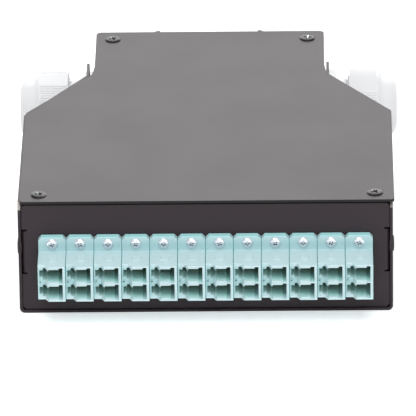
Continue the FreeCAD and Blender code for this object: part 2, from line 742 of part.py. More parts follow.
def gland_body():
    """A threaded tube through the neck wall, with a hexagon outside and a slotted cage at its end."""
    tube = new_body("right_gland_body", y=gland_back, z=gland_axis)
    inner_end = f"({half_neck} - gland_inner_reach)"
    seat_start = f"({cage_end} - seal_length)"
    profile = [(inner_end, gland_bore), (inner_end, "gland_thread"), (cage_start, "gland_thread"),
               (cage_start, cage_radius), (cage_end, cage_radius), (cage_end, seal_seat),
               (seat_start, seal_seat), (seat_start, gland_bore)]
    turn(tube, outline(tube, "XY", "0", profile), "H_Axis")
    flats_up = [(z, y) for y, z in hexagon("gland_flats")]
    hexagon_sketch = outline(tube, "YZ", gasket_face, flats_up)
    add_circle(hexagon_sketch, "0", "0", f"({gland_bore} + gland_thread) / 2")
    pad(tube, hexagon_sketch, "gland_hex_depth")
    slot = rectangle(cage_start, "-cage_slot / 2", f"{cage_end} + {CUT_PAST}", "cage_slot / 2")
    ring_of(tube, cut(tube, outline(tube, "XY", "0", slot), "gland_thread"), "X", CAGE_SLOTS)
    return tube


def gland_gasket():
    """A flat ring between the hexagon and the wall."""
    ring = new_body("right_gland_gasket", y=gland_back, z=gland_axis)
    outside = f"({gland_hole} + gasket_width)"
    pad(ring, circles(ring, "YZ", half_neck, [("0", "0")], outside, gland_hole), "gasket_depth")
    return ring


def gland_locknut():
    """The hexagon nut inside the wall."""
    nut = new_body("right_gland_locknut", y=gland_back, z=gland_axis)
    sketch = outline(nut, "YZ", f"{neck_inside} - locknut_depth", hexagon("locknut_flats"))
    add_circle(sketch, "0", "0", gland_hole)
    pad(nut, sketch, "locknut_depth")
    return nut


def gland_seal():
    """A rubber sleeve that the cap squeezes on to the cable."""
    seal = new_body("right_gland_seal", y=gland_back, z=gland_axis)
    start = f"({cage_end} - seal_length + seal_play)"
    outside = f"({seal_seat} - seal_play)"
    profile = [(start, "seal_bore"), (start, outside), (cage_end, outside),
               (seal_end, "(seal_bore + cap_hole) / 2"), (seal_end, "seal_bore")]
    turn(seal, outline(seal, "XY", "0", profile), "H_Axis")
    return seal


def gland_cap():
    """The nut: a grip with six flats, a bevelled step down to a tapered dome and a hole for the cable."""
    cap = new_body("right_gland_cap", y=gland_back, z=gland_axis)
    cap.Placement = Placement(Vector(), Rotation(Vector(1, 0, 0), RIGHT_CAP_TURN))
    grip_end = f"({cap_start} + cap_grip)"
    dome_start = f"({grip_end} + cap_bevel)"
    dome_radius = f"({cap_radius} - cap_step)"
    dome_rim = f"({dome_radius} - cap_taper)"
    cage_hole = f"({cage_radius} + thread_play)"
    outside = [(cap_start, cap_bore), (cap_start, cap_radius), (grip_end, cap_radius),
               (dome_start, dome_radius), (cap_end, dome_rim), (cap_end, "cap_hole")]
    inside = [(f"{seal_end} + seal_play", "cap_hole"), (f"{cage_end} + seal_play", cage_hole),
              (f"{cage_start} + seal_play", cage_hole), (f"{cage_start} + seal_play", cap_bore)]
    turn(cap, outline(cap, "XY", "0", outside + inside), "H_Axis")
    round_edges(cap, "cap_dome", lambda at, along: near(at.x, cap_end)
                and near((at.y ** 2 + at.z ** 2) ** 0.5, dome_rim))
    flat = rectangle(f"{cap_start} - {CUT_PAST}", f"-{cap_radius}", dome_start, cap_radius)
    one_flat = cut(cap, outline(cap, "XY", f"{cap_radius} - cap_flat_depth", flat), cap_radius)
    ring_of(cap, one_flat, "X", CAP_FLATS)
    return cap


def hook_plan(root):
    """Plan of the right-hand hook from its outer root round to its inner face at the seat."""
    lip_inside = f"({hook_inside} - hook_lip)"
    return [(hook_outside, root),
            (hook_outside, f"{hook_end} - hook_lip_depth / 2"),
            (f"{hook_outside} - hook_lip_depth / 2", hook_end),
            (lip_inside, hook_end),
            (lip_inside, f"{lip_face} + hook_lip_depth / 3"),
            (f"{hook_inside} - hook_lip / 2", lip_face),
            (hook_inside, lip_face)]


def shorten_lip(body, side):
    """Ends the lip of a hook before the hook's own ends."""
    lip = rectangle(f"{side}({hook_inside} - hook_lip - {CUT_PAST})", f"{lip_face} - rail_flange_gap / 2",
                    f"{side}{hook_inside}", f"{hook_end} + {CUT_PAST}")
    for level in (f"clip_floor_gap - {CUT_PAST}", f"{clip_top} - lip_end"):
        cut(body, outline(body, "XY", level, lip), f"lip_end + {CUT_PAST}")


def din_clip():
    """The fixed half of the rail clip: seat, hook and a channel for the latch."""
    clip = new_body("din_clip")
    latch_side = f"(-{hook_inside} + hook_play)"
    seat = [(hook_inside, seat_face), (latch_side, seat_face), (latch_side, "tray_rear")]
    pad(clip, outline(clip, "XY", "clip_floor_gap", hook_plan("tray_rear") + seat), clip_height)
    shorten_lip(clip, "")
    channel = rectangle(f"{latch_side} - {CUT_PAST}", f"{clip_middle} - channel_height / 2",
                        "channel_end", f"{clip_middle} + channel_height / 2")
    cut(clip, outline(clip, "XZ", "tray_rear + channel_depth", channel), f"channel_depth + {CUT_PAST}")
    post = rectangle("-post_outer", f"{clip_middle} - post_height / 2",
                     "-post_outer + post_wall", f"{clip_middle} + post_height / 2")
    pad(clip, outline(clip, "XZ", f"tray_rear + channel_depth + {CUT_PAST}", post), "channel_depth")
    holes_level = f"{seat_face} + {CUT_PAST}"
    shank_holes = circles(clip, "XZ", holes_level, clip_screw_places, screw_clear_hole)
    cut(clip, shank_holes, f"seat_depth + 2 * {CUT_PAST}")
    cut(clip, circles(clip, "XZ", holes_level, clip_screw_places, clip_head_hole), f"clip_sink + {CUT_PAST}")
    return clip


def din_latch():
    """The sliding half: a plate in the channel with a hook across it and a slot to pull it by."""
    latch = new_body("din_latch")
    back = "(tray_rear + clip_play)"
    front = "(tray_rear + channel_depth - clip_play)"
    slide_half = "(channel_height / 2 - clip_play)"
    hook = [(f"-({x})", y) for x, y in hook_plan(back) + [(hook_inside, back)]]
    pad(latch, outline(latch, "XY", "clip_floor_gap", hook), clip_height)
    shorten_lip(latch, "-")
    slide = rectangle("-latch_reach", f"{clip_middle} - {slide_half}",
                      "latch_inner", f"{clip_middle} + {slide_half}")
    pad(latch, outline(latch, "XZ", front, slide), f"{front} - {back}")
    window = rectangle("-post_outer - clip_play", f"{clip_middle} - window_height / 2",
                       "window_end", f"{clip_middle} + window_height / 2")
    pull_slot = rectangle("-latch_reach + pull_slot_margin", f"{clip_middle} - pull_slot_height / 2",
                          "-latch_reach + pull_slot_margin + pull_slot_width",
                          f"{clip_middle} + pull_slot_height / 2")
    both_holes = outline(latch, "XZ", f"{front} + {CUT_PAST}", window, pull_slot)
    cut(latch, both_holes, f"channel_depth + 2 * {CUT_PAST}")
    round_edges(latch, "pull_slot_margin", lambda at, along: abs(along.y) > 0.99
                and near(at.x, "-latch_reach"))
    return latch


def latch_spring():
    """The coil spring between the clip's post and the end of the latch's window."""
    coil = new_body("latch_spring", y="tray_rear + channel_depth / 2", z=clip_middle)
    coil_radius = "(channel_depth / 2 - spring_wire - spring_play)"
    start = "(-post_outer + post_wall + spring_wire + seam_gap)"
    length = f"(window_end - spring_wire - seam_gap - {start})"
    wire = circles(coil, "XY", "0", [(start, coil_radius)], "spring_wire")
    helix = coil.newObject("PartDesign::AdditiveHelix", "latch_spring_coil")
    helix.Profile = wire
    helix.ReferenceAxis = (wire, ["H_Axis"])
    helix.Mode = 0
    helix.setExpression("Pitch", bound(f"{length} / spring_turns"))
    helix.setExpression("Height", bound(length))
    return coil


def clip_screws():
    """Two screws that hold the rail clip, sunk below its seat."""
    screws = new_body("din_clip_screws", y=f"{seat_face} - clip_sink", z=clip_middle)
    length = "(seat_depth - clip_sink + sheet_wall + nut_height + sheet_wall)"
    profile = screw_profile("screw_shank", "clip_head", "clip_sink - clip_play", "screw_head_chamfer", length)
    for level in (clip_screw_level, f"-{clip_screw_level}"):
        turn(screws, outline(screws, "XY", level, turned_over(profile)), "V_Axis")
    return screws


def clip_nuts():
    """The nuts of those screws inside the rear wall."""
    nuts = new_body("din_clip_nuts", y="tray_rear - sheet_wall", z=clip_middle)
    for level in (clip_screw_level, f"-{clip_screw_level}"):
        sketch = sketch_on(nuts, "XZ", "0", shift=("0", level))
        add_loop(sketch, hexagon("nut_flats"))
        add_circle(sketch, "0", "0", screw_thread_hole)
        pad(nuts, sketch, "nut_height")
    return nuts


def cassette_plan(inset):
    return rectangle(f"-({half_cassette} - {inset})", f"-cassette_front + {inset}",
                     f"{half_cassette} - {inset}", f"{cassette_rear} - {inset}")


def splice_cassette():
    """A shallow tray with two winding hubs and two fibre exits."""
    cassette = new_body("splice_cassette", z="cassette_floor")
    pad(cassette, outline(cassette, "XY", "0", cassette_plan("0")), "cassette_height")
    cut(cassette, outline(cassette, "XY", "cassette_wall", cassette_plan("cassette_wall")), "cassette_height")
    round_edges(cassette, "cassette_corner - cassette_wall", lambda at, along: abs(along.z) > 0.99
                and near(abs(at.x), f"{half_cassette} - cassette_wall"))
    round_edges(cassette, "cassette_corner", lambda at, along: abs(along.z) > 0.99
                and near(abs(at.x), half_cassette))
    rings = circles(cassette, "XY", "cassette_wall / 2", hub_places,
                    "hub_radius", "hub_radius - cassette_wall")
    pad(cassette, rings, "cassette_height - cassette_wall")
    exits = [rectangle(f"{side}(cassette_exit_side - cassette_exit / 2)", f"-cassette_front - {CUT_PAST}",
                       f"{side}(cassette_exit_side + cassette_exit / 2)",
                       "-cassette_front + 2 * cassette_wall")
             for side in ("", "-")]
    cut(cassette, outline(cassette, "XY", "cassette_wall", *exits), "cassette_height")
    cut(cassette, circles(cassette, "XY", f"-{CUT_PAST}", hub_places, screw_clear_hole),
        f"cassette_wall + 2 * {CUT_PAST}")
    return cassette


def cassette_cover():
    """A clear plate on the cassette's walls."""
    cover = new_body("cassette_cover", z="cassette_floor + cassette_height")
    pad(cover, outline(cover, "XY", "0", cassette_plan("0")), "cover_wall")
    round_edges(cover, "cassette_corner", lambda at, along: abs(along.z) > 0.99)
    return cover


def splice_comb(label, side):
    """A row of ribs that grips the splice sleeves."""
    comb = new_body(label, x=f"{side}(comb_gap + comb_width) / 2",
                    y=f"({cassette_rear} - cassette_front) / 2",
                    z="cassette_floor + cassette_wall")
    half_wide = "comb_width / 2"
    half_long = "comb_length / 2"
    floor = rectangle(f"-{half_wide}", f"-{half_long}", half_wide, half_long)
    pad(comb, outline(comb, "XY", "0", floor), "comb_floor")
    rib = rectangle(f"-{half_wide}", f"-{half_long}", f"-{half_wide} + comb_rib", half_long)
    ribs = pad(comb, outline(comb, "XY", "comb_floor / 2", rib), "comb_height - comb_floor / 2")
    row_of(comb, [ribs], "X", COMB_RIBS, "comb_width - comb_rib")
    return comb


def cassette_posts():
    """Hexagon posts that carry the cassette above the tray's floor."""
    posts = new_body("cassette_posts", z="sheet_wall")
    for x, y in hub_places:
        sketch = sketch_on(posts, "XY", "0", shift=(x, y))
        add_loop(sketch, hexagon("post_flats"))
        add_circle(sketch, "0", "0", screw_thread_hole)
        pad(posts, sketch, "cassette_floor - sheet_wall")
    return posts


def cassette_screws():
    """The screws down through the hubs into the posts."""
    screws = new_body("cassette_screws", z="cassette_floor + cassette_wall")
    length = "(cassette_wall + cassette_floor - sheet_wall - seam_gap)"
    for x, y in hub_places:
        profile = turned_over(machine_screw(length))
        turn(screws, outline(screws, "XZ", y, profile, shift=(x, "0")), "V_Axis")
    return screws


pieces = [base_tray(), lid(), front_panel(), adapter_screws(), lid_screws(), panel_screws(), panel_nuts()]
first_block = adapter("adapter_01")
first_sleeves = sleeves("sleeves_01")
pieces += [first_block, first_sleeves]
for number in range(2, ADAPTER_COUNT + 1):
    place = f"{first_adapter} + adapter_pitch * {number - 1}"
    pieces.append(copy_of(first_block, f"adapter_{number:02d}", place, panel_face, "adapter_axis"))
    pieces.append(copy_of(first_sleeves, f"sleeves_{number:02d}", place, panel_face, "adapter_axis"))
half_turn = Rotation(Vector(0, 0, 1), 180)
for right_piece in (gland_body(), gland_gasket(), gland_locknut(), gland_seal()):
    left_label = right_piece.Label.replace("right", "left")
    pieces += [right_piece, copy_of(right_piece, left_label, "0", gland_back, gland_axis, half_turn)]
right_cap = gland_cap()
left_turn = half_turn * Rotation(Vector(1, 0, 0), LEFT_CAP_TURN)
pieces += [right_cap, copy_of(right_cap, "left_gland_cap", "0", gland_back, gland_axis, left_turn)]
pieces += [din_clip(), din_latch(), latch_spring(), clip_screws(), clip_nuts()]
pieces += [splice_cassette(), cassette_cover(), splice_comb("splice_comb_left", "-"),
           splice_comb("splice_comb_right", ""), cassette_posts(), cassette_screws()]
doc.recompute()

failed = [item.Label for item in doc.Objects if {"Invalid", "Error"} & set(item.State)]
shapes = {piece.Label: Part.getShape(piece) for piece in pieces}
bad = [label for label, shape in shapes.items() if shape.isNull() or not shape.isValid()]
if failed or bad:
    raise RuntimeError(f"failed objects {failed}, bad shapes {bad}")

os.makedirs("parts", exist_ok=True)
for label, shape in shapes.items():
    shape.exportStep(f"parts/{label}.step")
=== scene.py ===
import json
import math

import bmesh
import bpy
from mathutils import Matrix, Vector


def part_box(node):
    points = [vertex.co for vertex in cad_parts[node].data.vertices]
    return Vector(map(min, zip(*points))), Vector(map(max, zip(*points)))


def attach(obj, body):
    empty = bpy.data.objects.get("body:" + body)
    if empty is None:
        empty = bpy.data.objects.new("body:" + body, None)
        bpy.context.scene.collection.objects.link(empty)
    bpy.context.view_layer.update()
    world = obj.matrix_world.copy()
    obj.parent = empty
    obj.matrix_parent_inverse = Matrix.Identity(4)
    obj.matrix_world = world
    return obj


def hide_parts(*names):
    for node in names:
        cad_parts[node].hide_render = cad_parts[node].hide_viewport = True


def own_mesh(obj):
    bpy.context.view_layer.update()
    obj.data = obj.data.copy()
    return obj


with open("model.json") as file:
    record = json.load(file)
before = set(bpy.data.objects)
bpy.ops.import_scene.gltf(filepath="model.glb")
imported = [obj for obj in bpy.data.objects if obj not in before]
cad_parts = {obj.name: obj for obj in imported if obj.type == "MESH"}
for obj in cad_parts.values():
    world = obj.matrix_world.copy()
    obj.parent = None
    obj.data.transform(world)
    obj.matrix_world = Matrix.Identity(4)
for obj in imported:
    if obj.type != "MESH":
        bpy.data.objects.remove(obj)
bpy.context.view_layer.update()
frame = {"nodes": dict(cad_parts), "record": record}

# Lengths are given in millimetres and angles in degrees, unless a comment says otherwise
MM = 0.001
# Corners nearer than these, in metres, are one corner: first in a solid's mesh, then in a shape made here
JOIN = 1e-6
FINE_JOIN = 1e-7

ADAPTERS = [f"adapter_{number:02d}" for number in range(1, 13)]
SIDES = (("left", -1), ("right", 1))


# Finishes

# Scale of the faint drifts of colour and roughness
BROAD_SCALE = 60

# Where the painted light and shade on an adapter's plastic change: levels are off its axis, depths are back
# from its front and sides are off its middle
# A painted highlight: the top paler towards the front
TOP_LEVELS = (6.2, 6.3)
TOP_DEPTHS = (1, 10)
# Painted shade on the ears, deepest between their root and their tip
EAR_ROOT_LEVELS = (6.2, 8)
EAR_ROOT_TONE = 0.35
EAR_TIP_LEVELS = (9, 11.5)
EAR_TIP_TONE = 0.3
EAR_DEPTHS = (9.5, 13)
# Painted shade along the ears' top rims and on the sides in the gaps between the mouldings
RIM_LEVELS = (11.45, 11.6)
RIM_SIDES = (4.62, 4.74)
# The walls round the ports and the latch slot
WALL_LEVELS = (6, 6.3)
WALL_SIDES = (4.5, 4.62)
# The latch slot, set back from the front, and the painted shade in it
LATCH_SIDES = (-1.4, -1.3)
LATCH_DEPTHS = (1, 1.9)
LATCH_LEVELS = (4.6, 5.6)
LATCH_SET_BACK = 2
# Painted shade in the ports, darker towards their end
PORT_MOUTH = (0.05, 1.3)
PORT_END = (5, 9.5)
# A painted glow near the ports' mouths, an emission that stands for light coming through the plastic
GLOW_DEPTHS = (0.3, 6.5)


def grain_group():
    """Fine grain for the height and broad, faint drifts for the colour and the roughness."""
    group = bpy.data.node_groups.new("surface grain", "ShaderNodeTree")
    for name, kind in (("Vector", "Vector"), ("Fine scale", "Float"), ("Broad scale", "Float"),
                       ("Pale", "Color"), ("Deep", "Color"), ("Smooth", "Float"), ("Rough", "Float")):
        group.interface.new_socket(name, in_out="INPUT", socket_type="NodeSocket" + kind)
    for name, kind in (("Colour", "Color"), ("Roughness", "Float"), ("Height", "Float")):
        group.interface.new_socket(name, in_out="OUTPUT", socket_type="NodeSocket" + kind)
    given = group.nodes.new("NodeGroupInput")
    made = group.nodes.new("NodeGroupOutput")
    fine = group.nodes.new("ShaderNodeTexNoise")
    broad = group.nodes.new("ShaderNodeTexNoise")
    tone = group.nodes.new("ShaderNodeMix")
    tone.data_type = "RGBA"
    sheen = group.nodes.new("ShaderNodeMapRange")
    link = group.links.new
    link(given.outputs["Vector"], fine.inputs["Vector"])
    link(given.outputs["Fine scale"], fine.inputs["Scale"])
    link(given.outputs["Vector"], broad.inputs["Vector"])
    link(given.outputs["Broad scale"], broad.inputs["Scale"])
    link(broad.outputs["Fac"], tone.inputs["Factor"])
    link(given.outputs["Deep"], tone.inputs["A"])
    link(given.outputs["Pale"], tone.inputs["B"])
    link(broad.outputs["Fac"], sheen.inputs["Value"])
    link(given.outputs["Smooth"], sheen.inputs["To Min"])
    link(given.outputs["Rough"], sheen.inputs["To Max"])
    link(tone.outputs["Result"], made.inputs["Colour"])
    link(sheen.outputs["Result"], made.inputs["Roughness"])
    link(fine.outputs["Fac"], made.inputs["Height"])
    return group


def srgb(red, green, blue):
    """A colour as a picture shows it, 0 to 255, in the values a shader takes."""
    steps = [value / 255 for value in (red, green, blue)]
    linear = [step / 12.92 if step <= 0.04045 else ((step + 0.055) / 1.055) ** 2.4 for step in steps]
    return (*linear, 1)


def surface(slot, colour, drift, roughness, fine, bump, **sockets):
    """A finish with the shared grain: colour drifts by a share, roughness lies between two values."""
    material = bpy.data.materials.new(slot)
    material.use_nodes = True
    nodes = material.node_tree.nodes
    link = material.node_tree.links.new
    shader = nodes["Principled BSDF"]
    place = nodes.new("ShaderNodeTexCoord")
    grain = nodes.new("ShaderNodeGroup")
    grain.node_tree = GRAIN
    relief = nodes.new("ShaderNodeBump")
    grain.inputs["Fine scale"].default_value = fine
    grain.inputs["Broad scale"].default_value = BROAD_SCALE
    grain.inputs["Pale"].default_value = (*[min(1, part * (1 + drift)) for part in colour[:3]], 1)
    grain.inputs["Deep"].default_value = (*[part * (1 - drift) for part in colour[:3]], 1)
    grain.inputs["Smooth"].default_value = roughness[0]
    grain.inputs["Rough"].default_value = roughness[1]
    relief.inputs["Strength"].default_value = 1
    relief.inputs["Distance"].default_value = bump * MM
    link(place.outputs["Object"], grain.inputs["Vector"])
    link(grain.outputs["Colour"], shader.inputs["Base Color"])
    link(grain.outputs["Roughness"], shader.inputs["Roughness"])
    link(grain.outputs["Height"], relief.inputs["Height"])
    link(relief.outputs["Normal"], shader.inputs["Normal"])
    for name, value in sockets.items():
        shader.inputs[name.replace("_", " ")].default_value = value
    return material


def toned(tree, colour, factor):
    """Mixes a colour into the shader's by a factor."""
    shader = tree.nodes["Principled BSDF"]
    tone = tree.nodes.new("ShaderNodeMix")
    tone.data_type = "RGBA"
    tone.inputs["B"].default_value = colour
    tree.links.new(factor, tone.inputs["Factor"])
    tree.links.new(shader.inputs["Base Color"].links[0].from_socket, tone.inputs["A"])
    tree.links.new(tone.outputs["Result"], shader.inputs["Base Color"])


def mark_tone(material, mark, colour):
    """Gives the faces that carry a mark a colour of their own; the mark's socket."""
    tree = material.node_tree
    marked = tree.nodes.new("ShaderNodeAttribute")
    marked.attribute_name = mark
    toned(tree, colour, marked.outputs["Fac"])
    return marked.outputs["Fac"]


def recess_tone(material, colour):
    """Gives the walls of the screws' recesses a metal tone of their own: on the black screws steel where the
    plating is worn off, on the plated screws a darker tone, a painted shade.
    """
    marked = mark_tone(material, "recess", colour)
    shader = material.node_tree.nodes["Principled BSDF"]
    if shader.inputs["Metallic"].default_value == 0:
        material.node_tree.links.new(marked, shader.inputs["Metallic"])
    return material


def edge_tone(material, cut, glint_colour):
    """Gives the cut edges of the sheet and the marked slanting cuts colours of their own: a painted shade,
    darker, on the cut edges and a painted glint, pale, on the slanting cuts.
    """
    mark_tone(material, "shaded_cut_edge", cut)
    mark_tone(material, "painted_glint_edge", glint_colour)
    return material


def ramp(tree, socket, span, levels):
    """A value that goes between two levels while the socket's crosses a span."""
    step = tree.nodes.new("ShaderNodeMapRange")
    for name, value in zip(("From Min", "From Max", "To Min", "To Max"), (*span, *levels)):
        step.inputs[name].default_value = value
    tree.links.new(socket, step.inputs["Value"])
    return step.outputs["Result"]


def reckoned(tree, operation, *given):
    """One sum on sockets and plain numbers."""
    step = tree.nodes.new("ShaderNodeMath")
    step.operation = operation
    for slot, value in zip(step.inputs, given):
        if isinstance(value, bpy.types.NodeSocket):
            tree.links.new(value, slot)
        else:
            slot.default_value = value
    return step.outputs["Value"]


def adapter_tones(material, top, flange, edge, inside, deep, glow):
    """Painted light and shade on the plastic: a highlight on top towards the front, shade on the flanges,
    rims and in the ports, and a glow in the ports.
    """
    low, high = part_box(ADAPTERS[0])
    middle = (low + high) / 2
    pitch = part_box(ADAPTERS[1])[0].x - low.x
    tree = material.node_tree
    place = tree.nodes.new("ShaderNodeTexCoord")
    parts = tree.nodes.new("ShaderNodeSeparateXYZ")
    tree.links.new(place.outputs["Object"], parts.inputs["Vector"])

    def across_span(socket, span, levels=(0, 1)):
        return ramp(tree, socket, [mark * MM for mark in span], levels)

    def both(first, second):
        return reckoned(tree, "MULTIPLY", first, second)

    depth = reckoned(tree, "SUBTRACT", parts.outputs["Y"], low.y)
    level = reckoned(tree, "ABSOLUTE", reckoned(tree, "SUBTRACT", parts.outputs["Z"], middle.z))
    in_row = reckoned(tree, "WRAP", parts.outputs["X"], middle.x + pitch / 2, middle.x - pitch / 2)
    side = reckoned(tree, "SUBTRACT", in_row, middle.x)
    off_middle = reckoned(tree, "ABSOLUTE", side)

    # Painted highlight: the top paler towards the front
    toned(tree, top, both(across_span(level, TOP_LEVELS), across_span(depth, TOP_DEPTHS, (1, 0))))

    # Painted shade on the ears
    ear_middle = both(across_span(level, EAR_ROOT_LEVELS, (EAR_ROOT_TONE, 1)),
                      across_span(level, EAR_TIP_LEVELS, (1, EAR_TIP_TONE)))
    toned(tree, flange, both(ear_middle, across_span(depth, EAR_DEPTHS)))

    # Painted shade along the rims and in the gaps between the mouldings
    rim = reckoned(tree, "MAXIMUM", across_span(level, RIM_LEVELS), across_span(off_middle, RIM_SIDES))
    toned(tree, edge, rim)

    within_walls = both(across_span(level, WALL_LEVELS, (1, 0)), across_span(off_middle, WALL_SIDES, (1, 0)))
    # Painted shade in the set-back latch slot
    latch_side = across_span(side, LATCH_SIDES, (1, 0))
    set_back = both(both(latch_side, across_span(depth, LATCH_DEPTHS)), within_walls)
    toned(tree, flange, both(set_back, across_span(level, LATCH_LEVELS, (1, 0))))

    # Painted shade in the ports, deeper towards their end
    port_depth = reckoned(tree, "SUBTRACT", depth, both(latch_side, LATCH_SET_BACK * MM))
    in_port = both(within_walls, across_span(port_depth, PORT_MOUTH))
    toned(tree, inside, in_port)
    toned(tree, deep, both(in_port, across_span(port_depth, PORT_END)))

    # A painted glow in the ports: an emission, though the plastic is no lamp
    glow_mask = both(in_port, across_span(port_depth, GLOW_DEPTHS, (1, 0)))
    glow_mask = both(glow_mask, reckoned(tree, "SUBTRACT", 1, latch_side))
    shade = tree.nodes.new("ShaderNodeMix")
    shade.data_type = "RGBA"
    shade.inputs["A"].default_value = (0, 0, 0, 1)
    shade.inputs["B"].default_value = glow
    tree.links.new(glow_mask, shade.inputs["Factor"])
    shader = tree.nodes["Principled BSDF"]
    tree.links.new(shade.outputs["Result"], shader.inputs["Emission Color"])
    shader.inputs["Emission Strength"].default_value = 1
    return material


GRAIN = grain_group()
FINISHES = {
    # The paint's own colour; the cut edges get a painted shade and the slanting cuts a painted glint
    "black_paint": edge_tone(
        surface("black_paint", srgb(43, 34, 39), drift=0.03, roughness=(0.42, 0.48), fine=3500, bump=0.006,
                Specular_IOR_Level=0.28),
        cut=srgb(14, 11, 13), glint_colour=srgb(166, 159, 154)),
    # The plastic's own colour, with a painted highlight on top, painted shade on the flanges, edges and in
    # the ports, and a painted glow in the ports
    "aqua_plastic": adapter_tones(
        surface("aqua_plastic", srgb(190, 216, 220), drift=0.02, roughness=(0.3, 0.38), fine=900, bump=0.003),
        top=srgb(202, 229, 233), flange=srgb(164, 200, 203), edge=srgb(172, 228, 230),
        inside=srgb(184, 216, 213), deep=srgb(150, 174, 162), glow=srgb(40, 84, 82)),
    "zirconia": surface(
        "zirconia", srgb(238, 238, 230), drift=0.02, roughness=(0.15, 0.2), fine=2000, bump=0.001),
    # The plated screws' recesses get a darker metal, a painted shade
    "plated_screw": recess_tone(
        surface("plated_screw", srgb(208, 212, 218), drift=0.03, roughness=(0.16, 0.24), fine=4000,
                bump=0.002, Metallic=1),
        srgb(165, 168, 175)),
    "black_screw": recess_tone(
        surface("black_screw", srgb(34, 33, 35), drift=0.05, roughness=(0.26, 0.34), fine=4000, bump=0.002,
                Specular_IOR_Level=0.2),
        srgb(215, 216, 219)),
    "zinc_steel": surface(
        "zinc_steel", srgb(196, 198, 200), drift=0.04, roughness=(0.3, 0.4), fine=2500, bump=0.002,
        Metallic=1),
    "spring_steel": surface(
        "spring_steel", srgb(180, 181, 184), drift=0.04, roughness=(0.25, 0.35), fine=2500, bump=0.002,
        Metallic=1),
    "seal_rubber": surface(
        "seal_rubber", srgb(40, 40, 41), drift=0.06, roughness=(0.6, 0.75), fine=1500, bump=0.008),
    "pale_nylon": surface(
        "pale_nylon", srgb(226, 227, 229), drift=0.01, roughness=(0.38, 0.46), fine=1800, bump=0.003),
    "black_nylon": surface(
        "black_nylon", srgb(40, 40, 42), drift=0.05, roughness=(0.42, 0.52), fine=1800, bump=0.006),
    "clear_plastic": surface(
        "clear_plastic", srgb(236, 244, 246), drift=0.01, roughness=(0.04, 0.08), fine=900, bump=0.001,
        Transmission_Weight=0.95, IOR=1.49),
    "grey_plastic": surface(
        "grey_plastic", srgb(205, 207, 209), drift=0.02, roughness=(0.4, 0.5), fine=1800, bump=0.004),
}


# Shaping

# An edge shorter than this many widths of the rounding is left sharp
LEAST_EDGE = 3


def merged_copy(node):
    """A solid's mesh with its corners joined."""
    shape = bmesh.new()
    shape.from_mesh(frame["nodes"][node].data)
    bmesh.ops.remove_doubles(shape, verts=shape.verts, dist=JOIN)
    return shape


def ease_edges(shape, width, least_angle=30):
    """Rounds the sharp edges that are long enough to take it, by a width in millimetres."""
    offset = width * MM
    chosen = [edge for edge in shape.edges if edge.is_manifold and edge.calc_length() > LEAST_EDGE * offset
              and edge.calc_face_angle() > math.radians(least_angle)]
    bmesh.ops.bevel(shape, geom=chosen, offset=offset, offset_type="OFFSET", affect="EDGES", segments=2,
                    profile=0.5, material=-1, clamp_overlap=False, face_strength_mode="ALL")
    bmesh.ops.dissolve_degenerate(shape, dist=FINE_JOIN, edges=shape.edges)


def add_cube(shape, low, high):
    """A block between two corners, and its vertices."""
    made = bmesh.ops.create_cube(shape, size=1)["verts"]
    bmesh.ops.scale(shape, vec=high - low, verts=made)
    bmesh.ops.translate(shape, vec=(low + high) / 2, verts=made)
    return made


def add_shape(shape, other):
    """Puts another shape into this one."""
    spare = bpy.data.meshes.new("spare")
    other.to_mesh(spare)
    other.free()
    shape.from_mesh(spare)
    bpy.data.meshes.remove(spare)


def spun(profile, steps):
    """A turned shape from (radius, level) points, about +Z."""
    shape = bmesh.new()
    points = [shape.verts.new((radius * MM, 0, level * MM)) for radius, level in profile]
    edges = [shape.edges.new(pair) for pair in zip(points, points[1:])]
    bmesh.ops.spin(shape, geom=points + edges, cent=(0, 0, 0), axis=(0, 0, 1), angle=math.tau, steps=steps,
                   use_merge=True)
    bmesh.ops.remove_doubles(shape, verts=shape.verts, dist=FINE_JOIN)
    bmesh.ops.recalc_face_normals(shape, faces=shape.faces)
    return shape


def as_object(shape, name):
    """Puts a shape in the scene as an object with no finish."""
    mesh = bpy.data.meshes.new(name)
    shape.to_mesh(mesh)
    shape.free()
    made = bpy.data.objects.new(name, mesh)
    bpy.context.scene.collection.objects.link(made)
    return made


def carved(shape, cutters):
    """The shape less each cutter."""
    body = as_object(shape, "carved")
    tools = [as_object(cutter, "cutter") for cutter in cutters]
    for tool in tools:
        step = body.modifiers.new("carve", "BOOLEAN")
        step.operation = "DIFFERENCE"
        step.solver = "EXACT"
        step.object = tool
    bpy.context.view_layer.update()
    evaluated = body.evaluated_get(bpy.context.evaluated_depsgraph_get())
    result = bmesh.new()
    result.from_mesh(evaluated.to_mesh())
    evaluated.to_mesh_clear()
    bmesh.ops.dissolve_degenerate(result, dist=FINE_JOIN, edges=result.edges)
    for spare in [body] + tools:
        bpy.data.objects.remove(spare)
    return result


def piece(name, shape, slot, nodes, body="box", crease=35):
    """A finished piece that stands for some nodes and moves with their body."""
    for face in shape.faces:
        face.smooth = True
    made = as_object(shape, name)
    made.data.set_sharp_from_angle(angle=math.radians(crease))
    made.data.materials.append(FINISHES[slot])
    normals = made.modifiers.new("face normals", "WEIGHTED_NORMAL")
    normals.keep_sharp = True
    normals.use_face_influence = True
    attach(made, body)
    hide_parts(*nodes)
    return made


def middle_of(node):
    """The middle of a node's box."""
    low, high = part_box(node)
    return (low + high) / 2


# Sheet metal

SHEET_EASE = 0.12
LID_EASE = 0.08
# A face of the lid that faces up or down less than this is a cut edge
CUT_EDGE_RISE = 0.7
# The slanting cut lies this near to a wall's front and top, and faces forwards and up at least this much
WALL_CORNER = 2.4
SLANT = 0.3
# How strongly the painted glint shows on the left and on the right wall's slanting cut
LEFT_GLINT = 1
RIGHT_GLINT = 0.5
# The panel's rim is this wide and is drawn out by these steps
PANEL_RIM = 3
PANEL_SIDE_STEP = 0.25
PANEL_TOP_STEP = 0.2
PANEL_FOOT_STEP = 0.28


